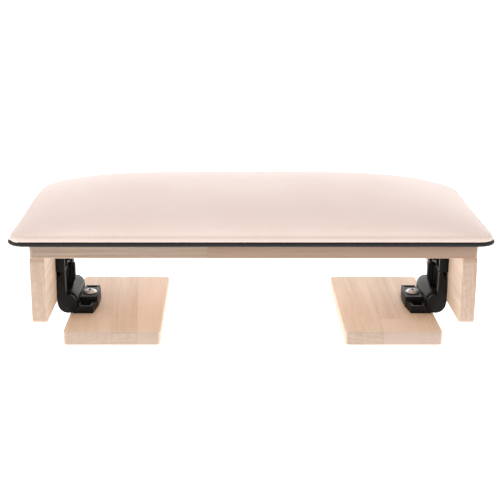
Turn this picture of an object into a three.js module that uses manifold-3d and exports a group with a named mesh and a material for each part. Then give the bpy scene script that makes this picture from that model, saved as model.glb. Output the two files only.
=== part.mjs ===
// Wrist rest: a padded cushion on a wooden board, two hanging end panels and two folding feet.
// Millimetres, +Z up. X runs along the cushion and Y from its front to its back. The origin is on
// the table, under the middle of the cushion. The feet lie flat in the modelled pose.
import * as THREE from "three";
import { mergeVertices } from "three/addons/utils/BufferGeometryUtils.js";
import Module from "manifold-3d";

const wasm = await Module();
wasm.setup();

// ---------------------------------------------------------------- driving dimensions

const GAP = 0.3; // between pieces that would otherwise share a curved or turned face
const PAST = 1; // how far a cutting tool runs past the face that it opens
const MERGE_DISTANCE = 1e-4;

const WOOD = { edgeRadius: 1.2, cornerRadius: 4 };
const BOARD = { length: 372.4, depth: 175, thickness: 12.8, bottom: 80.2 };
const PANEL = { bottom: 22.9, outerX: BOARD.length / 2, depth: 175, thickness: 12.8 };
const FOOT = { innerX: 79, outerX: 162.5, depth: 157, thickness: 12 };

// The hinge turns about an axis that lies equally far from the panel's face and the foot's top,
// so a foot that has swung down a quarter turn lines up with its panel.
const PANEL_FACE_X = PANEL.outerX - PANEL.thickness;
const HINGE = {
  offset: 9.5, // axis to panel face, and axis to foot top
  leafThickness: 8,
  leafDepth: 62,
  bossThickness: 11,
  bossDepth: 28,
  pocketRim: 3,
  pocketDepth: 5.5,
  drumRadius: 9.1,
  drumDepth: 36, // the stretch of full radius, between the knuckle's domed ends
  knuckleDepth: 51.6,
  knuckleEndRadius: 7.8,
  earDepth: 4.4,
  earSpan: 61, // over the outer faces of the two ears
  seatClearance: 0.4, // between the knuckle and the bracket
  seatTop: 7, // the bracket is open between the ears up to here
  pinRadius: 2.4,
  pinHoleRadius: 2.5,
  pinLength: 57.4, // its ends stay hidden inside the ears
};
const HINGE_X = PANEL_FACE_X - HINGE.offset;
const HINGE_Z = FOOT.thickness + HINGE.offset;

// The places below are measured from the hinge axis, for the left hinge.
const FIXED_LEAF = { bottom: 28.5, top: BOARD.bottom - 2 - HINGE_Z, cornerRadius: 1.5, bossRise: 6.5 };
const EAR = {
  radius: 9.1,
  innerRadius: 7.6, // of its upper part, on the foot's side
  clearance: 0.4, // between an ear and the moving leaf's base, which curves round it
  top: 28.6,
  topLeft: -5,
  topRight: -1.8,
  bevelBottom: 19,
};
const WALL = { right: -3.6, bottom: 6.5 }; // the thin back of the bracket, between its ribs
const RIBS = [
  [21, 23.6],
  [4, 6.4],
]; // where the bracket's ribs start and end in Y, on both sides of its middle
const FLUTES = [-1, 1.6]; // the grooves in the lever's front and back, in X
const MOVING_LEAF = {
  left: 1.8,
  shoulder: 4.2, // where the base starts below the ears
  right: 22,
  noseRight: 24.8, // the base is widest at the middle
  noseHalfDepth: 9,
  thickness: 6.7,
  pocketX: [7.4, 22.4],
  bossRight: 24.5,
  bossTop: 0.5,
};

// The release lever rocks on its own pin, above the knuckle.
const LEVER = {
  pinX: -5.2,
  pinZ: 15.5,
  pinRadius: 1.1,
  pinHoleRadius: 1.2,
  pinLength: 16,
  eyeRadius: 2.8,
  thickness: 6.2,
  slot: 7,
  slotBottom: 3,
  slotTop: 31.3,
  left: -2.6,
  right: 3.6,
  top: 28.9,
  chamfer: 1,
  shoulderZ: 14,
  tooth: { left: -0.6, right: 1.4, z: 9.65 },
  groove: { halfWidth: 0.55, halfDepth: 0.7 },
  notchHalfDepth: 12, // the gap in the fixed leaf's lower edge, in front of the lever
};
const SPRING = { z: 22.5, radius: 1.8, wire: 0.3, turns: 5, stepsPerTurn: 8 };

const SCREW = {
  shankRadius: 2,
  holeRadius: 2.3,
  length: 18,
  pointLength: 4,
  bite: 9, // how deep its hole goes into the wood
  headRadius: 6.5,
  headHeight: 2.6,
  seatGap: 0.1,
  recessHalfLength: 3.3,
  recessHalfWidth: 0.85,
  recessFloor: 0.8,
};
const FOOT_SCREW_X = 16;
const BRACKET_SCREW_Z = 44;

const DOWEL = { radius: 3, length: 18, holeRadius: 3.3, below: 10, ys: [-62, 0, 62] };
const CUSHION_SCREW = {
  x: 125,
  y: 55,
  headRadius: 4,
  shankRadius: 1.8,
  length: 14.2,
  pointLength: 3,
  inset: 0.1, // its head lies this far above the underside of the board
};

const CUSHION = {
  length: 400,
  depth: 198,
  cornerRadius: 19,
  baseThickness: 3,
  pipingDiameter: 3.3,
  pipingRise: 0.4, // the piping's middle lies this far above the base board's top
  coverThickness: 1.2,
  crownLength: 382,
  crownDepth: 183,
  crownHeight: 31,
};
// The crown falls off by these powers, slowly along the length and roundly across the depth.
const CROWN = { lengthPower: 3.2, lengthEase: 0.38, depthPower: 2, depthEase: 0.46, columns: 24, rows: 12 };

const BOARD_TOP = BOARD.bottom + BOARD.thickness;
const BASE_TOP = BOARD_TOP + CUSHION.baseThickness;
const COVER_BOTTOM = BASE_TOP + GAP;
const COVER_TOP = COVER_BOTTOM + CUSHION.coverThickness;

// ---------------------------------------------------------------- solids

// Only positions are kept and shared corners are merged, so the surface is closed.
function toSolid(geometry) {
  const bare = geometry.clone();
  bare.deleteAttribute("normal");
  bare.deleteAttribute("uv");
  const merged = mergeVertices(bare, MERGE_DISTANCE);
  const mesh = new wasm.Mesh({
    numProp: 3,
    vertProperties: merged.getAttribute("position").array,
    triVerts: new Uint32Array(merged.index.array),
  });
  return new wasm.Manifold(mesh);
}

function toGeometry(solid) {
  const { vertProperties, triVerts } = solid.getMesh();
  const geometry = new THREE.BufferGeometry();
  geometry.setAttribute("position", new THREE.BufferAttribute(vertProperties, 3));
  geometry.setIndex(new THREE.BufferAttribute(triVerts, 1));
  geometry.computeVertexNormals();
  return geometry;
}

function join(...pieces) {
  return toGeometry(pieces.map(toSolid).reduce((whole, piece) => whole.add(piece)));
}

function cut(body, ...tools) {
  return toGeometry(tools.map(toSolid).reduce((rest, tool) => rest.subtract(tool), toSolid(body)));
}

function box([xMin, xMax], [yMin, yMax], [zMin, zMax]) {
  return new THREE.BoxGeometry(xMax - xMin, yMax - yMin, zMax - zMin).translate(
    (xMin + xMax) / 2,
    (yMin + yMax) / 2,
    (zMin + zMax) / 2,
  );
}

function roundedRectangle(width, depth, radius) {
  const [x, y] = [width / 2, depth / 2];
  const shape = new THREE.Shape();
  shape.absarc(x - radius, y - radius, radius, 0, Math.PI / 2);
  shape.absarc(-x + radius, y - radius, radius, Math.PI / 2, Math.PI);
  shape.absarc(-x + radius, -y + radius, radius, Math.PI, 1.5 * Math.PI);
  shape.absarc(x - radius, -y + radius, radius, 1.5 * Math.PI, 2 * Math.PI);
  return shape;
}

// A slab with its bottom at z = 0, centred in plan, with rounded corners and eased edges.
function slab(width, depth, height, cornerRadius, edgeRadius, edgeSteps = 2) {
  const options = {
    depth: height - 2 * edgeRadius,
    curveSegments: 2,
    bevelEnabled: edgeRadius > 0,
    bevelThickness: edgeRadius,
    bevelSize: edgeRadius,
    bevelOffset: -edgeRadius,
    bevelSegments: edgeSteps,
  };
  const shape = roundedRectangle(width, depth, cornerRadius);
  return new THREE.ExtrudeGeometry(shape, options).translate(0, 0, edgeRadius);
}

function woodSlab(width, depth, thickness) {
  return slab(width, depth, thickness, WOOD.cornerRadius, WOOD.edgeRadius);
}

// A profile drawn in X and Z, drawn out along Y from yMin to yMax.
function alongY(shape, yMin, yMax, curveSegments = 8) {
  const options = { depth: yMax - yMin, bevelEnabled: false, curveSegments };
  return new THREE.ExtrudeGeometry(shape, options).rotateX(Math.PI / 2).translate(0, yMax, 0);
}

function polygon(points) {
  return new THREE.Shape(points.map(([x, z]) => new THREE.Vector2(x, z)));
}

function cylinderAlongY(radius, length, x, z, segments = 32) {
  return new THREE.CylinderGeometry(radius, radius, length, segments).translate(x, 0, z);
}

function cylinderAlongZ(radius, zMin, zMax, x, y, segments = 20) {
  return new THREE.CylinderGeometry(radius, radius, zMax - zMin, segments)
    .rotateX(Math.PI / 2)
    .translate(x, y, (zMin + zMax) / 2);
}

function cylinderAlongX(radius, xMin, xMax, z, segments = 20) {
  return new THREE.CylinderGeometry(radius, radius, xMax - xMin, segments)
    .rotateZ(Math.PI / 2)
    .translate((xMin + xMax) / 2, 0, z);
}

// ---------------------------------------------------------------- scene

const wristRest = new THREE.Group();
const leftHinge = new THREE.Group();
leftHinge.position.set(-HINGE_X, 0, HINGE_Z);
const rightHinge = new THREE.Group();
rightHinge.position.set(HINGE_X, 0, HINGE_Z);
rightHinge.rotation.z = Math.PI;
wristRest.add(leftHinge, rightHinge);

const FINISHES = {
  beech: { color: 0xdcbfa0, roughness: 0.6, metalness: 0 },
  dowelWood: { color: 0xd2b48c, roughness: 0.7, metalness: 0 },
  leather: { color: 0xf0dcd2, roughness: 0.5, metalness: 0 },
  piping: { color: 0x2c2826, roughness: 0.45, metalness: 0 },
  foam: { color: 0xefe9d8, roughness: 0.95, metalness: 0 },
  baseBoard: { color: 0x4a3a2e, roughness: 0.8, metalness: 0 },
  blackPlastic: { color: 0x1c1b1b, roughness: 0.4, metalness: 0 },
  nickel: { color: 0xd8d8d4, roughness: 0.25, metalness: 1 },
  steel: { color: 0x8f9194, roughness: 0.35, metalness: 1 },
};

function addPiece(group, name, geometry, finish) {
  const mesh = new THREE.Mesh(geometry, new THREE.MeshStandardMaterial(FINISHES[finish]));
  mesh.name = name;
  group.add(mesh);
}

// ---------------------------------------------------------------- wood

function topBoard() {
  const plank = woodSlab(BOARD.length, BOARD.depth, BOARD.thickness).translate(0, 0, BOARD.bottom);
  const dowelX = PANEL.outerX - PANEL.thickness / 2;
  const holeTop = BOARD.bottom + DOWEL.length - DOWEL.below + GAP;
  const dowelHoles = [-dowelX, dowelX].flatMap((x) =>
    DOWEL.ys.map((y) => cylinderAlongZ(DOWEL.holeRadius, BOARD.bottom - PAST, holeTop, x, y, 16)),
  );
  const screwHoles = cushionScrewPlaces().flatMap(([x, y]) => [
    cylinderAlongZ(CUSHION_SCREW.shankRadius + GAP, BOARD.bottom - PAST, BOARD_TOP + PAST, x, y, 12),
    countersink(CUSHION_SCREW.headRadius + GAP).translate(x, y, BOARD.bottom),
  ]);
  return cut(plank, ...dowelHoles, ...screwHoles);
}

// A cone that narrows upwards from just above z = 0, with a straight run below it.
function countersink(radius) {
  const height = radius - CUSHION_SCREW.shankRadius;
  const profile = [
    [0, -PAST],
    [radius, -PAST],
    [radius, GAP],
    [CUSHION_SCREW.shankRadius, GAP + height],
    [0, GAP + height],
  ];
  return turned(profile, 16);
}

// A profile of radius and height, turned about the Z axis. It starts and ends on the axis.
function turned(profile, segments) {
  const points = profile.map(([radius, height]) => new THREE.Vector2(radius, height));
  return new THREE.LatheGeometry(points, segments).rotateX(Math.PI / 2);
}

function cushionScrewPlaces() {
  const { x, y } = CUSHION_SCREW;
  return [
    [-x, -y],
    [x, -y],
    [-x, y],
    [x, y],
  ];
}

// The left panel. Its screw hole opens on its inner face.
function endPanel() {
  const height = BOARD.bottom - PANEL.bottom;
  const upright = woodSlab(height, PANEL.depth, PANEL.thickness)
    .rotateY(Math.PI / 2)
    .translate(-PANEL.outerX, 0, PANEL.bottom + height / 2);
  const dowelX = PANEL.outerX - PANEL.thickness / 2;
  const holeBottom = BOARD.bottom - DOWEL.below - GAP;
  const dowelHoles = DOWEL.ys.map((y) =>
    cylinderAlongZ(DOWEL.holeRadius, holeBottom, BOARD.bottom + PAST, -dowelX, y, 16),
  );
  const screwHole = cylinderAlongX(
    SCREW.holeRadius,
    -PANEL_FACE_X - SCREW.bite,
    -PANEL_FACE_X + PAST,
    HINGE_Z + BRACKET_SCREW_Z,
  );
  return cut(upright, ...dowelHoles, screwHole);
}

// The left foot plate. Its screw hole opens on its top.
function footPlate() {
  const plate = woodSlab(FOOT.outerX - FOOT.innerX, FOOT.depth, FOOT.thickness).translate(
    -(FOOT.outerX + FOOT.innerX) / 2,
    0,
    0,
  );
  const screwX = -HINGE_X + FOOT_SCREW_X;
  const bottom = FOOT.thickness - SCREW.bite;
  return cut(plate, cylinderAlongZ(SCREW.holeRadius, bottom, FOOT.thickness + PAST, screwX, 0));
}

function dowel(x, y) {
  const bottom = BOARD.bottom - DOWEL.below;
  return cylinderAlongZ(DOWEL.radius, bottom, bottom + DOWEL.length, x, y, 16);
}

// ---------------------------------------------------------------- cushion

// A block whose top swells into the cushion's crown, with its edge left at zTop.
function crownedBlock(inset, zMin, zTop) {
  const length = CUSHION.crownLength - 2 * inset;
  const depth = CUSHION.crownDepth - 2 * inset;
  const geometry = new THREE.BoxGeometry(2, 2, 1, CROWN.columns, CROWN.rows, 1);
  const position = geometry.getAttribute("position");
  for (let i = 0; i < position.count; i += 1) {
    // Grid lines draw together towards the edges, where the crown is steepest.
    const u = Math.sin((position.getX(i) * Math.PI) / 2);
    const v = Math.sin((position.getY(i) * Math.PI) / 2);
    const alongLength = (1 - Math.abs(u) ** CROWN.lengthPower) ** CROWN.lengthEase;
    const acrossDepth = (1 - Math.abs(v) ** CROWN.depthPower) ** CROWN.depthEase;
    const swell = (CUSHION.crownHeight - inset) * alongLength * acrossDepth;
    const z = position.getZ(i) > 0 ? zTop + swell : zMin;
    position.setXYZ(i, (u * length) / 2, (v * depth) / 2, z);
  }
  return geometry;
}

// The flat edge inside the piping, which the cover and the base board share in plan.
function insidePiping(height) {
  const inset = CUSHION.pipingDiameter + GAP;
  return slab(
    CUSHION.length - 2 * inset,
    CUSHION.depth - 2 * inset,
    height,
    CUSHION.cornerRadius - inset,
    0,
  );
}

function cushionBase() {
  const board = insidePiping(CUSHION.baseThickness).translate(0, 0, BOARD_TOP);
  const holes = cushionScrewPlaces().map(([x, y]) =>
    cylinderAlongZ(CUSHION_SCREW.shankRadius + GAP, BOARD_TOP - PAST, BASE_TOP + PAST, x, y, 12),
  );
  return cut(board, ...holes);
}

function cushionCover() {
  const flange = insidePiping(CUSHION.coverThickness).translate(0, 0, COVER_BOTTOM);
  const outside = crownedBlock(0, COVER_BOTTOM, COVER_TOP);
  const inside = crownedBlock(CUSHION.coverThickness, BASE_TOP - PAST, COVER_TOP);
  return cut(join(flange, outside), inside);
}

function cushionFoam() {
  return crownedBlock(CUSHION.coverThickness + GAP, COVER_BOTTOM, COVER_TOP);
}

// A round cord, with a narrow flat left on each of its four sides.
function cushionPiping() {
  const radius = CUSHION.pipingDiameter / 2;
  const edge = radius - 0.2;
  const outline = roundedRectangle(
    CUSHION.length - 2 * edge,
    CUSHION.depth - 2 * edge,
    CUSHION.cornerRadius - edge,
  );
  const inner = CUSHION.pipingDiameter - edge;
  const opening = roundedRectangle(
    CUSHION.length - 2 * inner,
    CUSHION.depth - 2 * inner,
    CUSHION.cornerRadius - inner,
  );
  outline.holes.push(new THREE.Path(opening.getPoints(4)));
  const options = {
    depth: CUSHION.pipingDiameter - 2 * edge,
    curveSegments: 4,
    bevelThickness: edge,
    bevelSize: edge,
    bevelSegments: 2,
  };
  const bottom = BASE_TOP + CUSHION.pipingRise - radius;
  return new THREE.ExtrudeGeometry(outline, options).translate(0, 0, bottom + edge);
}

// A countersunk screw, driven upwards, with its head flush with the underside of the board.
function cushionScrew(x, y) {
  const { headRadius, shankRadius, length, pointLength, inset } = CUSHION_SCREW;
  const profile = [
    [0, 0],
    [headRadius, 0],
    [shankRadius, headRadius - shankRadius],
    [shankRadius, length - pointLength],
    [0, length],
  ];
  return turned(profile, 12).translate(x, y, BOARD.bottom + inset);
}

// ---------------------------------------------------------------- hinge, about its own axis

// A block with an open pocket on each side of a raised central boss, lying on z = 0 with its
// pockets opening upwards. Its outline in X and Y is the fixed leaf's and the moving leaf's base.
function pocketedLeaf(outline, [xMin, xMax], thickness) {
  const options = { depth: thickness, bevelEnabled: false, curveSegments: 2 };
  const block = new THREE.ExtrudeGeometry(outline, options);
  const yOuter = HINGE.leafDepth / 2 - HINGE.pocketRim;
  const yInner = HINGE.bossDepth / 2;
  const floor = thickness - HINGE.pocketDepth;
  const pockets = [
    [-yOuter, -yInner],
    [yInner, yOuter],
  ].map((ys) => box([xMin + HINGE.pocketRim, xMax - HINGE.pocketRim], ys, [floor, thickness + PAST]));
  return cut(block, ...pockets);
}

// The outline of an ear and of the strip that carries it, in X and Z.
function earShape() {
  const shape = new THREE.Shape();
  shape.moveTo(EAR.topLeft, EAR.top);
  shape.lineTo(-HINGE.offset, EAR.bevelBottom);
  shape.lineTo(-HINGE.offset, 0);
  shape.absarc(0, 0, EAR.radius, Math.PI, (11 / 6) * Math.PI);
  shape.absarc(0, 0, EAR.innerRadius, 0, 0.55 * Math.PI);
  shape.lineTo(EAR.topRight, EAR.top);
  return shape;
}

// The fixed half: a leaf screwed to the panel, and a ribbed wall with an ear at each end of the pin.
function bracket() {
  const half = HINGE.earSpan / 2;
  const { bottom, top, cornerRadius, bossRise } = FIXED_LEAF;
  const height = top - bottom;
  const leafOutline = roundedRectangle(height, HINGE.leafDepth, cornerRadius);
  const leaf = pocketedLeaf(leafOutline, [-height / 2, height / 2], HINGE.leafThickness)
    .rotateY(Math.PI / 2)
    .translate(-HINGE.offset, 0, bottom + height / 2);
  const boss = box(
    [-HINGE.offset, HINGE.bossThickness - HINGE.offset],
    [-HINGE.bossDepth / 2, HINGE.bossDepth / 2],
    [bottom + bossRise, top],
  );
  const wallOutline = polygon([
    [-HINGE.offset, WALL.bottom],
    [WALL.right, WALL.bottom],
    [WALL.right, EAR.top],
    [EAR.topLeft, EAR.top],
    [-HINGE.offset, EAR.bevelBottom],
  ]);
  const wall = alongY(wallOutline, -half, half);
  const ribs = [[half - HINGE.earDepth, half], ...RIBS].flatMap(([inner, outer]) => [
    alongY(earShape(), inner, outer),
    alongY(earShape(), -outer, -inner),
  ]);
  const seat = seatForKnuckle(half - HINGE.earDepth);
  const wide = [-HINGE.leafDepth, HINGE.leafDepth];
  const leverSlot = box(wide, [-LEVER.slot / 2, LEVER.slot / 2], [LEVER.slotBottom, LEVER.slotTop]);
  const notch = box(
    [WALL.right, HINGE.offset],
    [-LEVER.notchHalfDepth, LEVER.notchHalfDepth],
    [EAR.top - PAST, LEVER.slotTop],
  );
  const { pinX, pinZ, pinLength, pinHoleRadius } = LEVER;
  const leverPinHole = cylinderAlongY(pinHoleRadius, pinLength + PAST, pinX, pinZ, 16);
  const pinHole = cylinderAlongY(HINGE.pinHoleRadius, HINGE.pinLength + 2 * GAP, 0, 0);
  const screwHole = cylinderAlongX(SCREW.holeRadius, -HINGE.offset - PAST, HINGE.offset, BRACKET_SCREW_Z);
  const solid = join(wall, ...ribs, leaf, boss);
  return cut(solid, ...seat, leverSlot, notch, leverPinHole, pinHole, screwHole);
}

// The space between the ears: a round seat over the knuckle, open from below.
function seatForKnuckle(halfDepth) {
  const radius = HINGE.drumRadius + HINGE.seatClearance;
  const wide = [-HINGE.leafDepth, HINGE.leafDepth];
  return [
    cylinderAlongY(radius, 2 * halfDepth, 0, 0),
    box(wide, [-halfDepth, halfDepth], [-2 * radius, HINGE.seatTop]),
  ];
}

// The moving half: a knuckle on the pin, and a base that is screwed to the foot.
function movingLeaf() {
  const { left, shoulder, right, noseRight, noseHalfDepth, thickness, pocketX } = MOVING_LEAF;
  const floor = -HINGE.offset;
  const yOuter = HINGE.earSpan / 2;
  const yKnuckle = HINGE.knuckleDepth / 2;
  const farHalf = [
    [left, yKnuckle],
    [shoulder, yKnuckle],
    [shoulder, yOuter],
    [right, yOuter],
    [noseRight, noseHalfDepth],
  ];
  const nearHalf = farHalf.map(([x, y]) => [x, -y]);
  const outline = polygon([...nearHalf, ...farHalf.reverse()]);
  const roomForEars = [-yOuter, yOuter].map((y) =>
    cylinderAlongY(EAR.radius + EAR.clearance, 2 * (HINGE.earDepth + GAP), 0, 0).translate(0, y, 0),
  );
  const leaf = pocketedLeaf(outline, pocketX, thickness).translate(0, 0, floor);
  const base = cut(leaf, ...roomForEars);
  const boss = box(
    [0, MOVING_LEAF.bossRight],
    [-HINGE.bossDepth / 2, HINGE.bossDepth / 2],
    [floor, MOVING_LEAF.bossTop],
  );
  const pinHole = cylinderAlongY(HINGE.pinHoleRadius, HINGE.earSpan, 0, 0);
  const screwHole = cylinderAlongZ(SCREW.holeRadius, floor - PAST, PAST, FOOT_SCREW_X, 0);
  return cut(join(base, boss, knuckle()), pinHole, screwHole);
}

// A barrel on the hinge axis: its middle has the full radius, and its ends are gently domed.
function knuckle() {
  const flat = HINGE.drumDepth / 2;
  const end = HINGE.knuckleDepth / 2;
  const steps = 5;
  const dome = Array.from({ length: steps + 1 }, (_, step) => {
    const angle = ((Math.PI / 2) * step) / steps;
    const drop = (HINGE.drumRadius - HINGE.knuckleEndRadius) * Math.cos(angle);
    const radius = HINGE.knuckleEndRadius + drop;
    return [radius, flat + (end - flat) * Math.sin(angle)];
  });
  const mirrored = dome.map(([radius, y]) => [radius, -y]).reverse();
  const points = [[0, -end], ...mirrored, ...dome, [0, end]].map(([r, y]) => new THREE.Vector2(r, y));
  return new THREE.LatheGeometry(points, 32);
}

function hingePin() {
  return cylinderAlongY(HINGE.pinRadius, HINGE.pinLength, 0, 0);
}

// A post for the thumb, an eye on the lever pin, and a tooth that points down at the knuckle.
function releaseLever() {
  const half = LEVER.thickness / 2;
  const { pinX, pinZ, eyeRadius, left, right, top, chamfer, tooth } = LEVER;
  const { halfWidth, halfDepth } = LEVER.groove;
  const outline = polygon([
    [pinX, pinZ - eyeRadius],
    [2 * tooth.left, pinZ - eyeRadius],
    [tooth.left, tooth.z],
    [tooth.right, tooth.z],
    [right, LEVER.shoulderZ],
    [right, top - chamfer],
    [right - chamfer, top],
    [left + chamfer, top],
    [left, top - chamfer],
    [left, pinZ + eyeRadius],
    [pinX, pinZ + eyeRadius],
  ]);
  const body = alongY(outline, -half, half);
  const eye = cylinderAlongY(eyeRadius, LEVER.thickness, pinX, pinZ, 20);
  const pinHole = cylinderAlongY(LEVER.pinHoleRadius, LEVER.thickness + 2 * PAST, pinX, pinZ, 16);
  const grooves = [-half, half].flatMap((y) =>
    FLUTES.map((x) =>
      box(
        [x - halfWidth, x + halfWidth],
        [y - halfDepth, y + halfDepth],
        [pinZ + eyeRadius + PAST, top - 2 * chamfer],
      ),
    ),
  );
  return cut(join(body, eye), pinHole, ...grooves);
}

function leverPin() {
  return cylinderAlongY(LEVER.pinRadius, LEVER.pinLength, LEVER.pinX, LEVER.pinZ, 16);
}

// A compression spring between the panel's face and the back of the lever's post.
class Coil extends THREE.Curve {
  getPoint(t, target = new THREE.Vector3()) {
    const angle = t * SPRING.turns * 2 * Math.PI;
    const start = -HINGE.offset + SPRING.wire + GAP;
    const end = LEVER.left - SPRING.wire - GAP;
    return target.set(
      start + (end - start) * t,
      SPRING.radius * Math.cos(angle),
      SPRING.z + SPRING.radius * Math.sin(angle),
    );
  }
}

function leverSpring() {
  const section = new THREE.Shape();
  section.absarc(0, 0, SPRING.wire, 0, 2 * Math.PI);
  const steps = SPRING.turns * SPRING.stepsPerTurn;
  const options = { steps, curveSegments: 2, extrudePath: new Coil() };
  return new THREE.ExtrudeGeometry(section, options);
}

// A truss-head screw with a cross recess, its head resting on z = 0 and its point below.
function trussScrew() {
  const { shankRadius, headRadius, headHeight, length, pointLength, seatGap } = SCREW;
  const profile = [
    [0, -length],
    [shankRadius, pointLength - length],
    [shankRadius, seatGap],
    [headRadius, seatGap],
    [headRadius, 0.27 * headHeight],
    [0.84 * headRadius, 0.65 * headHeight],
    [0.48 * headRadius, 0.92 * headHeight],
    [0, headHeight],
  ];
  const long = [-SCREW.recessHalfLength, SCREW.recessHalfLength];
  const narrow = [-SCREW.recessHalfWidth, SCREW.recessHalfWidth];
  const depth = [SCREW.recessFloor, headHeight + PAST];
  return cut(turned(profile, 20), box(long, narrow, depth), box(narrow, long, depth));
}

// ---------------------------------------------------------------- assembly

addPiece(wristRest, "top_board", topBoard(), "beech");
addPiece(wristRest, "cushion_base_board", cushionBase(), "baseBoard");
addPiece(wristRest, "cushion_foam", cushionFoam(), "foam");
addPiece(wristRest, "cushion_cover", cushionCover(), "leather");
addPiece(wristRest, "cushion_piping", cushionPiping(), "piping");

cushionScrewPlaces().forEach(([x, y]) => {
  const place = `${y < 0 ? "front" : "rear"}_${x < 0 ? "left" : "right"}`;
  addPiece(wristRest, `cushion_screw_${place}`, cushionScrew(x, y), "steel");
});

const SIDES = [
  { side: "left", sign: -1, hinge: leftHinge, turn: 0 },
  { side: "right", sign: 1, hinge: rightHinge, turn: Math.PI },
];

for (const { side, sign, hinge, turn } of SIDES) {
  addPiece(wristRest, `${side}_end_panel`, endPanel().rotateZ(turn), "beech");
  addPiece(wristRest, `${side}_foot_plate`, footPlate().rotateZ(turn), "beech");
  const dowelX = sign * (PANEL.outerX - PANEL.thickness / 2);
  DOWEL.ys.forEach((y, index) => {
    const place = ["front", "middle", "rear"][index];
    addPiece(wristRest, `${side}_dowel_${place}`, dowel(dowelX, y), "dowelWood");
  });
  addPiece(hinge, `${side}_hinge_bracket`, bracket(), "blackPlastic");
  addPiece(hinge, `${side}_hinge_leaf`, movingLeaf(), "blackPlastic");
  addPiece(hinge, `${side}_hinge_pin`, hingePin(), "steel");
  addPiece(hinge, `${side}_release_lever`, releaseLever(), "blackPlastic");
  addPiece(hinge, `${side}_lever_pin`, leverPin(), "steel");
  addPiece(hinge, `${side}_lever_spring`, leverSpring(), "steel");
  const footScrew = trussScrew().translate(FOOT_SCREW_X, 0, MOVING_LEAF.bossTop);
  addPiece(hinge, `${side}_foot_screw`, footScrew, "nickel");
  const bracketScrew = trussScrew()
    .rotateY(Math.PI / 2)
    .translate(HINGE.bossThickness - HINGE.offset, 0, BRACKET_SCREW_Z);
  addPiece(hinge, `${side}_bracket_screw`, bracketScrew, "nickel");
}

export default wristRest;
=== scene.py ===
"""A wrist rest: a crowned leather cushion on a wooden board, with two folding wooden feet."""

import math
from collections import namedtuple

import bmesh
import bpy
from mathutils import Matrix, Vector, noise


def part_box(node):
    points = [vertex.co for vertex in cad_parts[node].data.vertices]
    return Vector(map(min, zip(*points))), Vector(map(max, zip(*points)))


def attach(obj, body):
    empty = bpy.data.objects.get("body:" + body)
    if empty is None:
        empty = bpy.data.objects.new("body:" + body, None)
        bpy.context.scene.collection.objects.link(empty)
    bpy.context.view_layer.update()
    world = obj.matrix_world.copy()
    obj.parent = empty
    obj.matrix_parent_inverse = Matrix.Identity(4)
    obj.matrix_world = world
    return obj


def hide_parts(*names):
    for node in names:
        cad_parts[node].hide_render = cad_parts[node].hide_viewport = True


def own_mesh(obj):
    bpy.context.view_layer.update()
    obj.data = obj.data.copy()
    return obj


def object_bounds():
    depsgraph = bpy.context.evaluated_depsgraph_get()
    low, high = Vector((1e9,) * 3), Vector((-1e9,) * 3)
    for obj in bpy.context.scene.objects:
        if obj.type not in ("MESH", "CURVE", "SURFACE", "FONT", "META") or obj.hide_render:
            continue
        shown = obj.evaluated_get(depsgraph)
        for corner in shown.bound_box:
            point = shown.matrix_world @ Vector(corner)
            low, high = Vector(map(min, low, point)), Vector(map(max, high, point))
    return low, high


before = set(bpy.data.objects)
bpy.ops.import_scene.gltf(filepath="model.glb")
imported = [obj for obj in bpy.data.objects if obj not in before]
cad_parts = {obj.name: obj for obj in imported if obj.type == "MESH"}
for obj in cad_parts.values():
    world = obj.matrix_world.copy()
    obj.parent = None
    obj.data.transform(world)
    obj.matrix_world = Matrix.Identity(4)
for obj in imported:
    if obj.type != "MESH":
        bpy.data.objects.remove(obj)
cad_low, cad_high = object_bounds()

MM = 0.001
SIDES = {"left": -1, "right": 1}

# ------------------------------------------------------------------ dimensions, in metres

WOOD_CORNER = 4.0 * MM
WOOD_EDGE = 1.1 * MM
HOLE_CLEARANCE = 0.3 * MM
SCREW_HOLE_RADIUS = 2.3 * MM
SCREW_HOLE_DEPTH = 9 * MM
CUSHION_SCREW_SHANK = 1.8 * MM
PLASTIC_EDGE = 0.35 * MM
LEVER_EDGE = 0.3 * MM
SCREW_EDGE = 0.15 * MM
HARD_EDGE = 30  # degrees, from which a hinge's edge is rounded over

CUSHION_SHIFT = -2.0 * MM  # the cover is sewn a little off the board's centre
CUSHION_HALF = (201.2 * MM, 98.9 * MM)
FRONT_CORNER_RADIUS = 15 * MM
REAR_CORNER_RADIUS = 28 * MM
SEAM_INSET = 4.0 * MM
SEAM_HEIGHT = 101.0 * MM
CROWN_RISE = 27.5 * MM
# How the crown falls off towards each end: (power, ease).
CROWN_FALL = {"left": (3.9, 0.5), "right": (4.2, 0.68)}
GRID = (104, 52)
PIPING_RADIUS = 1.7 * MM
PIPING_INSET = 1.5 * MM
PIPING_HEIGHT = 94.9 * MM
STITCH_PITCH = 3.9 * MM
STITCH_LENGTH = 2.9 * MM
STITCH_RADIUS = 0.3 * MM
CLOTH_STEPS = 16
CLOTH_REACH = 1.5 * MM  # how far the simulation may move a point of the cover
OUTLINE_STEPS = 600  # samples along each side of the cushion's outline
# The rim outside the seam, as (inset, height) in millimetres, from the seam over the edge to below.
RIM_PROFILE = [
    (3.55, 100.85),
    (2.8, 100.45),
    (1.8, 99.75),
    (1.25, 98.8),
    (0.95, 97.8),
    (1.05, 97.15),
    (1.6, 96.95),
    (3.6, 96.9),
    (4.8, 96.35),
]

SKY_LIGHT = 0.74
FLOOR_GLOW = 0.85
# The floor lies below the feet at rest, so that it doesn't hide them folded down.
FOLDED_REACH = 65 * MM
KEY_POWER = 4.4
SIDE_POWER = 3.0
BACK_POWER = 8.2
LIGHT_TARGET = (0, 0, 0.05)

CAMERA_PLACE = (-0.0195, -0.9925, 0.3534)
CAMERA_TILT = math.radians(73.64)
CAMERA_LENS = 82.15
CAMERA_SHIFT = 0.04


# ------------------------------------------------------------------ materials


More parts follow.
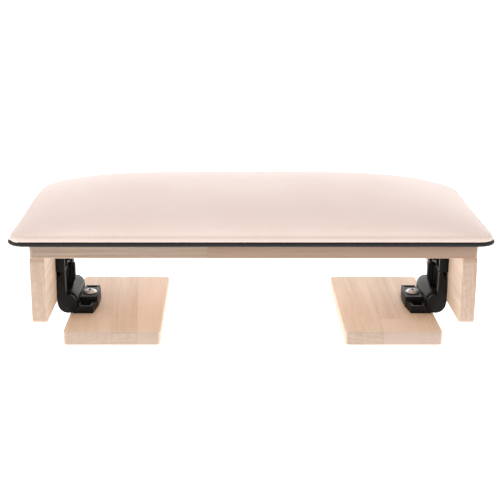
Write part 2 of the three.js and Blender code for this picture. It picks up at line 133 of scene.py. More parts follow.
class Recipe:
    """A material being put together: each method adds one node and gives back its output."""

    def __init__(self, name, **surface):
        self.material = bpy.data.materials.new(name)
        self.material.use_nodes = True
        self.tree = self.material.node_tree
        self.shader = self.tree.nodes["Principled BSDF"]
        for socket, value in surface.items():
            self.shader.inputs[socket.replace("_", " ")].default_value = value

    def feed(self, socket, value):
        if isinstance(value, bpy.types.NodeSocket):
            self.tree.links.new(value, socket)
        else:
            socket.default_value = value

    def node(self, kind, inputs, output=0, **settings):
        node = self.tree.nodes.new(kind)
        for name, value in settings.items():
            setattr(node, name, value)
        for key, value in inputs.items():
            self.feed(node.inputs[key], value)
        return node.outputs[output]

    def position(self):
        return self.node("ShaderNodeTexCoord", {}, output="Object")

    def scaled(self, vector, scale, shift=(0, 0, 0), turn=0.0):
        inputs = {"Vector": vector, "Location": shift, "Rotation": (0, 0, turn), "Scale": scale}
        return self.node("ShaderNodeMapping", inputs)

    def split(self, vector):
        node = self.tree.nodes.new("ShaderNodeSeparateXYZ")
        self.feed(node.inputs[0], vector)
        return list(node.outputs)

    def joined(self, x, y, z):
        return self.node("ShaderNodeCombineXYZ", {"X": x, "Y": y, "Z": z})

    def math(self, operation, a, b=0.0, clamp=False):
        return self.node("ShaderNodeMath", {0: a, 1: b}, operation=operation, use_clamp=clamp)

    def sum(self, *terms):
        """Adds up (value, weight) pairs."""
        total = 0.0
        for value, weight in terms:
            total = self.math("ADD", self.math("MULTIPLY", value, weight), total)
        return total

    def noise(self, vector, scale=1.0, detail=2.0, roughness=0.5, distortion=0.0):
        inputs = {
            "Vector": vector,
            "Scale": scale,
            "Detail": detail,
            "Roughness": roughness,
            "Distortion": distortion,
        }
        return self.node("ShaderNodeTexNoise", inputs)

    def levels(self, value, low, high, new_low=0.0, new_high=1.0):
        inputs = {
            "Value": value,
            "From Min": low,
            "From Max": high,
            "To Min": new_low,
            "To Max": new_high,
        }
        return self.node("ShaderNodeMapRange", inputs, clamp=True)

    def mixed(self, share, first, second, blend="MIX"):
        inputs = {0: share, 6: first, 7: second}
        return self.node("ShaderNodeMix", inputs, output=2, data_type="RGBA", blend_type=blend)

    def finish(self, colour=None, roughness=None, height=None, relief=0.1 * MM):
        """Connects what varies over the surface. Relief is the height of the bump."""
        if colour is not None:
            self.feed(self.shader.inputs["Base Color"], colour)
        if roughness is not None:
            self.feed(self.shader.inputs["Roughness"], roughness)
        if height is not None:
            bump = self.node("ShaderNodeBump", {"Height": height, "Distance": relief, "Strength": 1.0})
            self.feed(self.shader.inputs["Normal"], bump)
        return self.material


def rgba(red, green, blue):
    return (red, green, blue, 1.0)


# The faces at the ends of the grain are darker by end. The faces along the grain's sides are
# multiplied by edge: on the board that is painted shade, the cushion's overhang shadow on its
# front and back; on the panels and feet it is only a faint darkening.
Tones = namedtuple("Tones", "pale dark rosy end edge")
FOOT_TONES = Tones(
    pale=rgba(0.95, 0.82, 0.67),
    dark=rgba(0.70, 0.52, 0.37),
    rosy=rgba(0.91, 0.74, 0.60),
    end=rgba(0.62, 0.57, 0.57),
    edge=rgba(0.95, 0.92, 0.90),
)
PANEL_TONES = Tones(
    pale=rgba(0.89, 0.75, 0.62),
    dark=rgba(0.64, 0.47, 0.34),
    rosy=rgba(0.82, 0.65, 0.52),
    end=rgba(0.72, 0.65, 0.63),
    edge=rgba(0.95, 0.92, 0.90),
)
BOARD_TONES = Tones(
    pale=rgba(0.87, 0.73, 0.60),
    dark=rgba(0.50, 0.34, 0.235),
    rosy=rgba(0.58, 0.36, 0.25),
    end=rgba(0.76, 0.74, 0.76),
    # Painted shade: the board's front and back faces are darkened to stand for the cushion's overhang
    # shadow.
    edge=rgba(0.58, 0.535, 0.50),
)


def wood(name, along, across, stave, shift, tones, turn=0.0):
    """Glued hardwood staves. Along and across name the grain's axes, which turn by an angle in
    their plane; stave is (length, width)."""
    recipe = Recipe(name, Roughness=0.5)
    axes = dict(zip("XYZ", recipe.split(recipe.position())))
    deep = next(axes[axis] for axis in "XYZ" if axis not in (along, across))
    board = recipe.scaled(recipe.joined(axes[along], axes[across], deep), (1, 1, 1), shift, turn)
    brick = {
        "Vector": board,
        "Color1": rgba(0, 0, 0),
        "Color2": rgba(1, 1, 1),
        "Scale": 1.0,
        "Mortar Size": 0.00025,
        "Mortar Smooth": 0.6,
        "Brick Width": stave[0],
        "Row Height": stave[1],
    }
    which = recipe.node("ShaderNodeTexBrick", {**brick, "Mortar": rgba(0.5, 0.5, 0.5)}, offset=0.41)
    glue = recipe.node("ShaderNodeTexBrick", brick, output="Fac", offset=0.41)

    # Growth rings round a pith that lies elsewhere for each stave.
    waver = recipe.noise(recipe.scaled(board, (4, 22, 22)), detail=2.0)
    x, y, z = recipe.split(board)
    aside = recipe.sum((y, 1.0), (which, 0.16), (waver, 0.011))
    below = recipe.sum((z, 1.0), (which, -0.09), (waver, 0.006))
    aside_squared = recipe.math("MULTIPLY", aside, aside)
    below_squared = recipe.math("MULTIPLY", below, below)
    square = recipe.sum((aside_squared, 1.0), (below_squared, 1.0))
    radius = recipe.math("SQRT", recipe.math("ADD", square, 0.0002))
    outwards = recipe.math("MULTIPLY", radius, 420.0)
    lengthways = recipe.math("MULTIPLY", x, 3.0)
    ring_place = recipe.joined(outwards, lengthways, which)
    rings = recipe.noise(ring_place, detail=3.0, roughness=0.62)

    own = recipe.joined(x, recipe.sum((y, 1.0), (which, 3.7)), z)
    streaks = recipe.noise(recipe.scaled(own, (7, 230, 230)), detail=3.0, roughness=0.6)
    fibres = recipe.noise(recipe.scaled(own, (70, 1500, 1500)), detail=2.0)
    pores = recipe.levels(recipe.noise(recipe.scaled(own, (260, 2300, 2300)), detail=1.0), 0.62, 0.72)

    depth = recipe.sum((rings, 0.75), (streaks, 0.6), (fibres, 0.22))
    body = recipe.mixed(recipe.levels(depth, 0.52, 1.08), tones.pale, tones.dark)
    body = recipe.mixed(recipe.levels(which, 0.15, 0.9, 0.0, 0.9), body, tones.rosy)
    body = recipe.mixed(recipe.math("MULTIPLY", pores, 0.2), body, rgba(0.38, 0.24, 0.15))
    body = recipe.mixed(recipe.math("MULTIPLY", glue, 0.16), body, rgba(0.33, 0.2, 0.12))
    facing = dict(zip("XYZ", recipe.split(recipe.node("ShaderNodeTexCoord", {}, output="Normal"))))
    # On the board the edge tone is painted shade: the cushion's overhang shadow on its front and back
    # faces.
    for axis, tone in ((along, tones.end), (across, tones.edge)):
        share = recipe.levels(recipe.math("ABSOLUTE", facing[axis]), 0.5, 0.95)
        body = recipe.mixed(share, body, tone, blend="MULTIPLY")
    roughness = recipe.levels(fibres, 0.3, 0.7, 0.44, 0.58)
    height = recipe.sum((fibres, 1.0), (pores, -0.9), (streaks, 0.4))
    return recipe.finish(body, roughness, height, 0.035 * MM)


def leather(name, colour, crease, cell, relief, roughness, sheen=0.08, specular=0.5):
    """Smooth coated leather with a pebble grain; cell is the grain's size in metres. The crease
    colour is painted shade in the grain's valleys and also the tone of random cloudy patches.
    """
    recipe = Recipe(name, Roughness=roughness, Sheen_Weight=sheen, Specular_IOR_Level=specular)
    position = recipe.position()
    bend = recipe.noise(position, 1.5 / cell * 0.25, 2.0)
    place = recipe.node(
        "ShaderNodeVectorMath",
        {0: position, 1: recipe.joined(recipe.math("MULTIPLY", bend, cell * 1.5), 0.0, 0.0)},
        operation="ADD",
    )
    cells = recipe.node(
        "ShaderNodeTexVoronoi",
        {"Vector": place, "Scale": 1.0 / cell, "Randomness": 0.9},
        feature="DISTANCE_TO_EDGE",
    )
    pebbles = recipe.levels(cells, 0.0, 0.28)
    fine = recipe.noise(position, 3.0 / cell, 2.0)
    cloudy = recipe.noise(position, 9.0, 3.0, 0.6)
    # Painted shade: the grain's valleys are mixed towards the crease colour, as are random cloudy patches.
    valley_shade = recipe.levels(pebbles, 0.0, 1.0, 0.3, 0.0)
    patches = recipe.levels(cloudy, 0.35, 0.7, 0.0, 0.4)
    tone = recipe.sum((valley_shade, 1.0), (patches, 1.0))
    body = recipe.mixed(tone, colour, crease)
    valley_gloss = recipe.levels(pebbles, 0.0, 1.0, 0.08, -0.02)
    patch_gloss = recipe.levels(cloudy, 0.3, 0.7, -0.03, 0.03)
    gloss = recipe.sum((valley_gloss, 1.0), (patch_gloss, 1.0), (1.0, roughness))
    height = recipe.sum((pebbles, 1.0), (fine, 0.25))
    return recipe.finish(body, gloss, height, relief)


def moulded_plastic(name, colour, worn):
    """Satin moulded plastic, faintly pebbled, with uneven gloss."""
    recipe = Recipe(name, Roughness=0.4, Specular_IOR_Level=0.1)
    position = recipe.position()
    pebble = recipe.noise(position, 2600.0, 2.0)
    flow = recipe.noise(recipe.scaled(position, (60, 25, 60)), 1.0, 3.0, 0.6)
    scuffs = recipe.levels(recipe.noise(recipe.scaled(position, (300, 60, 500)), 1.0, 4.0, 0.7), 0.6, 0.75)
    body = recipe.mixed(recipe.sum((recipe.levels(flow, 0.35, 0.7), 0.5), (scuffs, 0.35)), colour, worn)
    roughness = recipe.sum((recipe.levels(flow, 0.3, 0.7, 0.32, 0.44), 1.0), (scuffs, 0.12))
    return recipe.finish(body, roughness, pebble, 0.02 * MM)


def plated_metal(name, colour, dull, roughness, metallic=1.0, shade_reach=0.0):
    """Plated or bare metal with fine scratches that run every way. Hollows and contact edges
    closer than the given distance get painted shade, a near black base colour; at 0 none do."""
    recipe = Recipe(name, Metallic=metallic, Roughness=roughness)
    position = recipe.position()
    scratches = recipe.noise(recipe.scaled(position, (900, 5200, 900)), 1.0, 3.0, 0.7)
    crossing = recipe.noise(recipe.scaled(position, (5200, 900, 5200)), 1.0, 3.0, 0.7)
    clouds = recipe.noise(position, 240.0, 3.0)
    body = recipe.mixed(recipe.levels(clouds, 0.35, 0.7), colour, dull)
    if shade_reach:
        # Painted shade: the base colour goes towards near black where ambient occlusion finds other
        # surfaces close, in hollows such as a cross recess and at contact edges.
        painted_shade_ao = recipe.node("ShaderNodeAmbientOcclusion", {"Distance": shade_reach}, output="AO")
        body = recipe.mixed(recipe.levels(painted_shade_ao, 0.35, 0.85), rgba(0.02, 0.02, 0.02), body)
    spread = recipe.sum((scratches, 0.1), (crossing, 0.08), (clouds, 0.06), (1.0, roughness - 0.1))
    height = recipe.sum((scratches, 0.6), (crossing, 0.6))
    return recipe.finish(body, spread, height, 0.006 * MM)


def hardboard(name, colour, fibre):
    """Pressed dark board with matted fibres."""
    recipe = Recipe(name, Roughness=0.75)
    position = recipe.position()
    mat = recipe.noise(recipe.scaled(position, (260, 700, 260)), 1.0, 4.0, 0.7, 1.2)
    specks = recipe.levels(recipe.noise(position, 1400.0, 2.0), 0.58, 0.72)
    body = recipe.mixed(recipe.sum((recipe.levels(mat, 0.35, 0.7), 0.8), (specks, 0.3)), colour, fibre)
    roughness = recipe.levels(mat, 0.3, 0.7, 0.65, 0.85)
    return recipe.finish(body, roughness, recipe.sum((mat, 1.0), (specks, 0.5)), 0.08 * MM)


WOODS = {
    "board": wood("board_wood", "X", "Y", (0.26, 0.05), (-0.222, 0.0675, 0.03), BOARD_TONES),
    "left_panel": wood("left_panel_wood", "Y", "Z", (0.5, 0.04), (0.31, 0.003, 1.1), PANEL_TONES),
    "right_panel": wood("right_panel_wood", "Y", "Z", (0.5, 0.04), (0.11, 0.003, 0.8), PANEL_TONES),
    "left_foot": wood("left_foot_wood", "Y", "X", (0.5, 0.0218), (0.62, 0.0169, 0.9), FOOT_TONES, 0.067),
    "right_foot": wood("right_foot_wood", "Y", "X", (0.5, 0.031), (0.34, 0.012, 1.3), FOOT_TONES),
    "dowel": wood("dowel_wood", "Z", "X", (0.2, 0.1), (0.05, 0.0, 0.0), PANEL_TONES),
}
BLUSH = rgba(0.88, 0.72, 0.65)
# The crease colours below are painted shade in the grain's valleys, and also the tone of random darker
# patches.
BLUSH_SHADE_AND_PATCHES = rgba(0.81, 0.63, 0.56)
LEATHER = leather("blush_leather", BLUSH, BLUSH_SHADE_AND_PATCHES, 1.1 * MM, 0.018 * MM, 0.46)
CORD_BLACK = rgba(0.016, 0.0135, 0.0125)
CORD_SHADE_AND_PATCHES = rgba(0.006, 0.005, 0.005)
PIPING = leather("black_piping_leather", CORD_BLACK, CORD_SHADE_AND_PATCHES, 0.8 * MM, 0.03 * MM, 0.42, 0.0, 0.3)
THREAD_PALE = rgba(0.85, 0.69, 0.62)
THREAD_SHADE_AND_PATCHES = rgba(0.62, 0.45, 0.39)
THREAD = leather("blush_thread", THREAD_PALE, THREAD_SHADE_AND_PATCHES, 0.35 * MM, 0.03 * MM, 0.6)
PLASTIC_DARK = rgba(0.009, 0.0083, 0.008)
PLASTIC_WORN = rgba(0.019, 0.018, 0.0172)
BLACK_PLASTIC = moulded_plastic("black_moulded_plastic", PLASTIC_DARK, PLASTIC_WORN)
NICKEL_BRIGHT = rgba(0.80, 0.82, 0.85)
NICKEL_DULL = rgba(0.66, 0.68, 0.71)
# The nickel heads get painted shade, near black, in their cross recess and at their contact edges.
NICKEL = plated_metal("nickel_plate", NICKEL_BRIGHT, NICKEL_DULL, 0.3, 0.6, 2.5 * MM)
STEEL = plated_metal("plain_steel", rgba(0.55, 0.56, 0.57), rgba(0.4, 0.4, 0.41), 0.34)
HARDBOARD = hardboard("dark_hardboard", rgba(0.035, 0.028, 0.024), rgba(0.085, 0.066, 0.052))


# ------------------------------------------------------------------ mesh helpers


def object_of(name, mesh_maker):
    """A new object whose mesh is what mesh_maker leaves in a fresh bmesh."""
    bm = bmesh.new()
    mesh_maker(bm)
    bmesh.ops.recalc_face_normals(bm, faces=bm.faces)
    mesh = bpy.data.meshes.new(name)
    bm.to_mesh(mesh)
    bm.free()
    made = bpy.data.objects.new(name, mesh)
    bpy.context.scene.collection.objects.link(made)
    return made


def apply_modifiers(piece):
    """Bakes a piece's modifiers into its mesh."""
    graph = bpy.context.evaluated_depsgraph_get()
    result = bpy.data.meshes.new_from_object(piece.evaluated_get(graph))
    piece.modifiers.clear()
    piece.data = result


def dress(piece, material, body, slot, *replaced, crease=35):
    """Gives a finished piece its shading and material, fastens it to its body and hides the CAD nodes
    that it stands for. Slot is not used.
    """
    piece.data.materials.clear()
    piece.data.materials.append(material)
    piece.data.shade_smooth()
    piece.data.set_sharp_from_angle(angle=math.radians(crease))
    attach(piece, body)
    if replaced:
        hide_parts(*replaced)


def cylinder_into(bm, radius, low, high, axis, end_radius=None, segments=24):
    """Adds a closed cylinder or cone between two points on one axis, given as 0, 1 or 2."""
    direction = Vector([float(i == axis) for i in range(3)])
    turn = Vector((0, 0, 1)).rotation_difference(direction).to_matrix().to_4x4()
    bmesh.ops.create_cone(
        bm,
        cap_ends=True,
        segments=segments,
        radius1=radius,
        radius2=radius if end_radius is None else end_radius,
        depth=(high - low).length,
        matrix=Matrix.Translation((low + high) / 2) @ turn,
    )


def drill(piece, holes_maker):
    """Cuts the solids that holes_maker adds to a bmesh out of the piece."""
    cutter = object_of("cutter", holes_maker)
    modifier = piece.modifiers.new("holes", "BOOLEAN")
    modifier.operation = "DIFFERENCE"
    modifier.solver = "EXACT"
    modifier.object = cutter
    apply_modifiers(piece)
    bpy.data.objects.remove(cutter)


def rounded_slab(name, low, high, thin_axis):
    """A board between two corners with rounded corners in plan and eased edges."""

    def make(bm):
        size = high - low
        place = Matrix.Translation((low + high) / 2) @ Matrix.Diagonal((*size, 1))
        bmesh.ops.create_cube(bm, size=1, matrix=place)
        corners = [e for e in bm.edges if abs((e.verts[0].co - e.verts[1].co)[thin_axis]) > 1e-6]
        bmesh.ops.bevel(bm, geom=corners, offset=WOOD_CORNER, segments=6, profile=0.5, affect="EDGES")
        flats = [f for f in bm.faces if abs(f.normal[thin_axis]) > 0.99]
        rims = list({e for face in flats for e in face.edges})
        bmesh.ops.bevel(bm, geom=rims, offset=WOOD_EDGE, segments=4, profile=0.5, affect="EDGES")

    return object_of(name, make)


# ------------------------------------------------------------------ cushion


def rounded_corner_point(p, q, half_x, half_y, radius):
    """Where a point on the edge of a two by two square lands on a rounded rectangle's outline."""
    on_end = abs(p) >= abs(q)
    straight = (half_y if on_end else half_x) - radius
    travelled = (abs(q) if on_end else abs(p)) * (straight + radius * math.pi / 4)
    if travelled <= straight:
        x, y = (half_x, travelled) if on_end else (travelled, half_y)
    else:
        angle = (travelled - straight) / radius
        angle = angle if on_end else math.pi / 2 - angle
        x = half_x - radius + radius * math.cos(angle)
        y = half_y - radius + radius * math.sin(angle)
    return math.copysign(x, p), math.copysign(y, q)


def plan_point(u, v, inset):
    """Maps the square from -1 to 1 onto the cushion's outline at an inset, square by square."""
    level = max(abs(u), abs(v))
    if level == 0:
        return 0.0, 0.0
    half_x, half_y = ((half - inset) * level for half in CUSHION_HALF)
    corner_radius = REAR_CORNER_RADIUS if v > 0 else FRONT_CORNER_RADIUS
    radius = max((corner_radius - inset) * level**8, 1e-6)
    return rounded_corner_point(u / level, v / level, half_x, half_y, radius)


def crown_height(u, v):
    power, ease = CROWN_FALL["left" if u < 0 else "right"]
    along = (1 - abs(u) ** power) ** ease
    across = (1 - v * v) ** 0.6
    return SEAM_HEIGHT + CROWN_RISE * along * across


def eased(step, steps):
    """Grid lines from -1 to 1 that draw together towards the ends."""
    even = 2 * step / steps - 1
    return 0.35 * even + 0.65 * math.sin(even * math.pi / 2)


def perimeter(columns, rows):
    """The grid's outer vertices, as (column, row), once round."""
    front = [(i, 0) for i in range(columns)]
    right = [(columns, j) for j in range(rows)]
    back = [(i, rows) for i in range(columns, 0, -1)]
    left = [(0, j) for j in range(rows, 0, -1)]
    return front + right + back + left


def cushion_mesh(bm):
    """The crown inside the seam, then the rim in loops over the edge to the underside."""
    columns, rows = GRID
    grid = {}
    for i in range(columns + 1):
        for j in range(rows + 1):
            u, v = eased(i, columns), eased(j, rows)
            x, y = plan_point(u, v, SEAM_INSET)
            grid[i, j] = bm.verts.new((x + CUSHION_SHIFT, y, crown_height(u, v)))
    for i in range(columns):
        for j in range(rows):
            bm.faces.new([grid[i, j], grid[i + 1, j], grid[i + 1, j + 1], grid[i, j + 1]])
    edge = perimeter(columns, rows)
    previous = [grid[key] for key in edge]
    for inset, height in RIM_PROFILE:
        loop = []
        for i, j in edge:
            x, y = plan_point(eased(i, columns), eased(j, rows), inset * MM)
            loop.append(bm.verts.new((x + CUSHION_SHIFT, y, height * MM)))
        for k in range(len(edge)):
            after = (k + 1) % len(edge)
            bm.faces.new([previous[after], previous[k], loop[k], loop[after]])
        previous = loop


def close_underside(piece):
    """Fills the one open loop, on the flat underside."""
    bm = bmesh.new()
    bm.from_mesh(piece.data)
    bmesh.ops.contextual_create(bm, geom=[e for e in bm.edges if e.is_boundary])
    bm.to_mesh(piece.data)
    bm.free()


def inflate(piece, cap):
    """Lets the crown settle as cloth under pressure, held at and outside the seam."""
    free_from = SEAM_HEIGHT + 0.5 * MM
    start = [v.co.copy() for v in piece.data.vertices]
    pins = piece.vertex_groups.new(name="held")
    pins.add([i for i, co in enumerate(start) if co.z < free_from], 1.0, "REPLACE")
    cloth = piece.modifiers.new("cloth", "CLOTH")
    cloth.settings.vertex_group_mass = "held"
    cloth.settings.quality = 6
    cloth.settings.mass = 0.25
    cloth.settings.tension_stiffness = 25
    cloth.settings.compression_stiffness = 25
    cloth.settings.shear_stiffness = 12
    cloth.settings.bending_stiffness = 3
    cloth.settings.use_pressure = True
    cloth.settings.uniform_pressure_force = 3
    cloth.settings.effector_weights.gravity = 0
    cloth.collision_settings.use_collision = False
    scene = bpy.context.scene
    for step in range(1, CLOTH_STEPS + 1):
        scene.frame_set(step)
    graph = bpy.context.evaluated_depsgraph_get()
    settled = [v.co.copy() for v in piece.evaluated_get(graph).data.vertices]
    piece.modifiers.clear()
    piece.vertex_groups.clear()
    scene.frame_set(1)
    for vertex, before, after in zip(piece.data.vertices, start, settled):
        move = after - before
        if move.length > cap:
            move *= cap / move.length
        vertex.co = before + move


def pucker(piece):
    """Small drawn-in waves where the seam pulls the cover down."""
    for vertex in piece.data.vertices:
        above = (vertex.co.z - SEAM_HEIGHT) / (6 * MM)
        if 0 < above < 1:
            wave = noise.noise(vertex.co * 95) * math.sin(above * math.pi)
            vertex.co.z += 0.22 * MM * wave


def build_cushion():
    cover = object_of("cushion", cushion_mesh)
    inflate(cover, CLOTH_REACH)
    pucker(cover)
    smooth = cover.modifiers.new("smooth", "SUBSURF")
    smooth.levels = smooth.render_levels = 1
    apply_modifiers(cover)
    close_underside(cover)
    dress(cover, LEATHER, "rest_frame", "leather", "cushion_cover", "cushion_foam", crease=80)


def outline_walk(inset, spacing):
    """Points and headings once round the cushion's outline at an inset, evenly spaced."""
    corners = [Vector(corner) for corner in ((-1, -1), (1, -1), (1, 1), (-1, 1))]
    dense = []
    for start, end in zip(corners, corners[1:] + corners[:1]):
        for k in range(OUTLINE_STEPS):
            x, y = plan_point(*start.lerp(end, k / OUTLINE_STEPS), inset)
            dense.append(Vector((x + CUSHION_SHIFT, y)))
    dense.append(dense[0])
    travelled = [0.0]
    for before, after in zip(dense, dense[1:]):
        travelled.append(travelled[-1] + (after - before).length)
    count = round(travelled[-1] / spacing)
    walk = []
    index = 0
    for k in range(count):
        along = k * travelled[-1] / count
        while travelled[index + 1] < along:
            index += 1
        before, after = dense[index], dense[index + 1]
        share = (along - travelled[index]) / (travelled[index + 1] - travelled[index])
        forward = after - before
        walk.append((before.lerp(after, share), math.atan2(forward.y, forward.x)))
    return walk


def ring_into(bm, centre, outward, radius, around):
    """Adds a ring of vertices, standing across the outline."""
    ring = []
    for k in range(around):
        angle = 2 * math.pi * k / around
        offset = outward * math.cos(angle) + Vector((0, 0, math.sin(angle)))
        ring.append(bm.verts.new(centre + radius * offset))
    return ring


def skin_into(bm, ring, after):
    """Adds the faces between one ring and the next."""
    for k in range(len(ring)):
        bm.faces.new([ring[k], ring[k - 1], after[k - 1], after[k]])


def piping_mesh(bm):
    """A round cord swept once round the cushion."""
    around = 16
    loops = []
    for point, heading in outline_walk(PIPING_INSET, 3.2 * MM):
        outward = Vector((math.sin(heading), -math.cos(heading), 0))
        centre = Vector((*point, PIPING_HEIGHT))
        loops.append(ring_into(bm, centre, outward, PIPING_RADIUS, around))
    for ring, after in zip(loops, loops[1:] + loops[:1]):
        skin_into(bm, ring, after)


def stitches_mesh(bm):
    """Short capsules of thread that dive into the seam at both ends."""
    along, around = 7, 6
    for point, heading in outline_walk(SEAM_INSET - 0.25 * MM, STITCH_PITCH):
        forward = Vector((math.cos(heading), math.sin(heading), 0))
        outward = Vector((math.sin(heading), -math.cos(heading), 0))
        middle = Vector((*point, SEAM_HEIGHT - 0.12 * MM))
        rings = []
        for step in range(along):
            share = step / (along - 1) * 2 - 1
            arch = math.sqrt(max(1 - share * share, 0.0))
            radius = STITCH_RADIUS * (0.35 + 0.65 * arch)
            centre = middle + forward * share * STITCH_LENGTH / 2
            centre += Vector((0, 0, 0.32 * MM * (arch - 0.4)))
            rings.append(ring_into(bm, centre, outward, radius, around))
        for ring, after in zip(rings, rings[1:]):
            skin_into(bm, ring, after)
        bm.faces.new(rings[0])
        bm.faces.new(rings[-1][::-1])


def build_trim():
    piping = object_of("piping", piping_mesh)
    dress(piping, PIPING, "rest_frame", "piping", "cushion_piping", crease=80)
    stitches = object_of("seam_stitches", stitches_mesh)
    dress(stitches, THREAD, "rest_frame", "leather", crease=80)


# ------------------------------------------------------------------ wood


def dowel_holes(bm, names):
    for name in names:
        low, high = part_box(name)
        middle = (low + high) / 2
        radius = (high.x - low.x) / 2 + HOLE_CLEARANCE
        bottom = Vector((middle.x, middle.y, low.z - HOLE_CLEARANCE))
        top = Vector((middle.x, middle.y, high.z + HOLE_CLEARANCE))
        cylinder_into(bm, radius, bottom, top, 2)


def build_board():
    low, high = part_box("top_board")
    board = rounded_slab("board", low, high, 2)

    def holes(bm):
        dowel_holes(bm, [f"{side}_dowel_{at}" for side in SIDES for at in ("front", "middle", "rear")])
        for at in ("front_left", "front_right", "rear_left", "rear_right"):
            head_low, head_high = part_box(f"cushion_screw_{at}")
            middle = (head_low + head_high) / 2
            wide = (head_high.x - head_low.x) / 2 + HOLE_CLEARANCE
            narrow = CUSHION_SCREW_SHANK + HOLE_CLEARANCE
            under = Vector((middle.x, middle.y, low.z - 1 * MM))
            seat = Vector((middle.x, middle.y, low.z + HOLE_CLEARANCE))
            throat = seat + Vector((0, 0, wide - narrow))
            over = Vector((middle.x, middle.y, high.z + 1 * MM))
            cylinder_into(bm, wide, under, seat, 2)
            cylinder_into(bm, wide, seat, throat, 2, end_radius=narrow)
            cylinder_into(bm, narrow, throat, over, 2)

    drill(board, holes)
    dress(board, WOODS["board"], "rest_frame", "beech", "top_board")


def build_panel(side, sign):
    low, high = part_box(f"{side}_end_panel")
    panel = rounded_slab(f"{side}_panel", low, high, 0)
    inner = low.x if sign > 0 else high.x
    screw_low, screw_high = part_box(f"{side}_bracket_screw")
    screw_z = (screw_low.z + screw_high.z) / 2

    def holes(bm):
        dowel_holes(bm, [f"{side}_dowel_{at}" for at in ("front", "middle", "rear")])
        ends = sorted((inner - sign * 1 * MM, inner + sign * SCREW_HOLE_DEPTH))
        start, end = (Vector((x, 0, screw_z)) for x in ends)
        cylinder_into(bm, SCREW_HOLE_RADIUS, start, end, 0)

    drill(panel, holes)
    dress(panel, WOODS[f"{side}_panel"], "rest_frame", "beech", f"{side}_end_panel")


def build_foot(side):
    low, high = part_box(f"{side}_foot_plate")
    foot = rounded_slab(f"{side}_foot", low, high, 2)
    screw_low, screw_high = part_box(f"{side}_foot_screw")
    screw_x = (screw_low.x + screw_high.x) / 2

    def holes(bm):
        bottom = Vector((screw_x, 0, high.z - SCREW_HOLE_DEPTH))
        top = Vector((screw_x, 0, high.z + 1 * MM))
        cylinder_into(bm, SCREW_HOLE_RADIUS, bottom, top, 2)

    drill(foot, holes)
    dress(foot, WOODS[f"{side}_foot"], f"{side}_foot", "beech", f"{side}_foot_plate")


# ------------------------------------------------------------------ hinges and screws


def refined(node, name, edge_width, material, body, slot):
    """A copy of a CAD node with its edges rounded over, which stands for it."""
    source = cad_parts[node].data

    def make(bm):
        bm.from_mesh(source)
        bmesh.ops.remove_doubles(bm, verts=bm.verts, dist=1e-6)
        bmesh.ops.dissolve_limit(bm, angle_limit=math.radians(1), verts=bm.verts, edges=bm.edges)

    piece = object_of(name, make)
    bevel = piece.modifiers.new("edges", "BEVEL")
    bevel.width = edge_width
    bevel.segments = 2
    bevel.limit_method = "ANGLE"
    bevel.angle_limit = math.radians(HARD_EDGE)
    bevel.harden_normals = False
    apply_modifiers(piece)
    dress(piece, material, body, slot, node, crease=HARD_EDGE)


def build_hinge(side):
    foot = f"{side}_foot"
    lever = f"{side}_lever"
    # Each row: CAD node, piece, edge, material, body, slot.
    pieces = [
        ("hinge_bracket", "bracket", PLASTIC_EDGE, BLACK_PLASTIC, "rest_frame", "black_plastic"),
        ("hinge_leaf", "leaf", PLASTIC_EDGE, BLACK_PLASTIC, foot, "black_plastic"),
        ("release_lever", "lever", LEVER_EDGE, BLACK_PLASTIC, lever, "black_plastic"),
        ("foot_screw", "foot_screw_head", SCREW_EDGE, NICKEL, foot, "nickel"),
        ("bracket_screw", "bracket_screw_head", SCREW_EDGE, NICKEL, "rest_frame", "nickel"),
    ]
    for node, name, *finish in pieces:
        refined(f"{side}_{node}", f"{side}_{name}", *finish)


def build_lever_spring(side):
    """The coil behind the lever, copied from its CAD node. The real coil shortens towards the panel
    as the lever is pressed; here it stays as it is.
    """
    node = f"{side}_lever_spring"
    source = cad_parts[node].data

    def make(bm):
        bm.from_mesh(source)

    piece = object_of(f"{side}_coil", make)
    dress(piece, STEEL, "rest_frame", "steel", node)
    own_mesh(piece)


def finish_small_nodes():
    """CAD nodes that stay as they are get their materials."""
    finishes = {
        "dowel": WOODS["dowel"],
        "pin": STEEL,
        "cushion_screw": STEEL,
        "base_board": HARDBOARD,
    }
    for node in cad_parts.values():
        if node.hide_render:
            continue
        material = next(m for word, m in finishes.items() if word in node.name)
        node.data.materials.clear()
        node.data.materials.append(material)


# ------------------------------------------------------------------ floor, light and camera


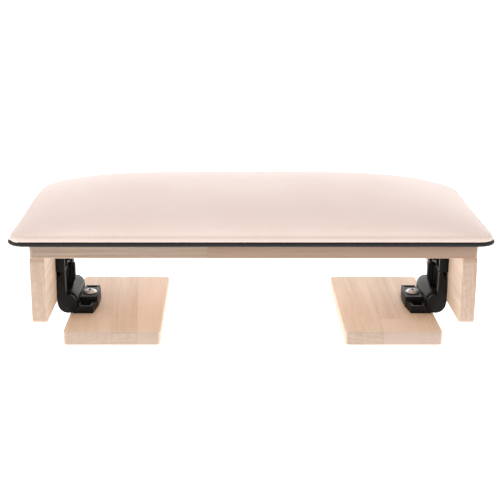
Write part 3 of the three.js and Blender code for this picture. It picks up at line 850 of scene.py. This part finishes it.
def build_floor():
    recipe = Recipe("white_floor", Base_Color=rgba(0.95, 0.95, 0.95), Roughness=0.9)
    grain = recipe.noise(recipe.position(), 40.0, 3.0)
    shade = recipe.mixed(grain, rgba(0.94, 0.94, 0.94), rgba(0.96, 0.96, 0.96))
    recipe.shader.inputs["Emission Color"].default_value = rgba(1, 1, 1)
    recipe.shader.inputs["Emission Strength"].default_value = FLOOR_GLOW

    def make(bm):
        bmesh.ops.create_grid(bm, x_segments=2, y_segments=2, size=6)

    floor = object_of("floor", make)
    floor.data.materials.append(recipe.finish(shade))
    floor.location.z = cad_low.z - FOLDED_REACH


def area_light(name, place, size, power):
    data = bpy.data.lights.new(name, "AREA")
    data.shape = "RECTANGLE"
    data.size, data.size_y = size
    data.energy = power
    light = bpy.data.objects.new(name, data)
    light.location = place
    aim = Vector(LIGHT_TARGET) - Vector(place)
    light.rotation_euler = aim.to_track_quat("-Z", "Y").to_euler()
    bpy.context.scene.collection.objects.link(light)


def build_light():
    world = bpy.data.worlds.new("studio")
    world.use_nodes = True
    tree = world.node_tree
    surround = tree.nodes["Background"]
    surround.inputs["Color"].default_value = rgba(1, 1, 1)
    seen = tree.nodes.new("ShaderNodeLightPath").outputs["Is Camera Ray"]
    strength = tree.nodes.new("ShaderNodeMapRange")
    strength.inputs["To Min"].default_value = SKY_LIGHT
    strength.inputs["To Max"].default_value = 1.0
    tree.links.new(seen, strength.inputs["Value"])
    tree.links.new(strength.outputs[0], surround.inputs["Strength"])
    bpy.context.scene.world = world
    area_light("key", (-0.3, -0.5, 1.5), (1.6, 1.2), KEY_POWER)
    area_light("side", (-1.6, -0.35, 0.3), (1.2, 0.8), SIDE_POWER)
    area_light("back", (0.2, 1.4, 0.6), (2.0, 1.0), BACK_POWER)
    bpy.context.scene.view_settings.view_transform = "Standard"


def build_camera():
    data = bpy.data.cameras.new("camera")
    data.lens = CAMERA_LENS
    data.sensor_width = 36
    data.shift_x = CAMERA_SHIFT
    camera = bpy.data.objects.new("camera", data)
    camera.location = CAMERA_PLACE
    camera.rotation_euler = (CAMERA_TILT, 0, 0)
    bpy.context.scene.collection.objects.link(camera)
    bpy.context.scene.camera = camera


# ------------------------------------------------------------------ the whole

build_camera()
build_cushion()
build_trim()
build_board()
for side_name, side_sign in SIDES.items():
    build_panel(side_name, side_sign)
    build_foot(side_name)
    build_hinge(side_name)
    build_lever_spring(side_name)
finish_small_nodes()
build_floor()
build_light()
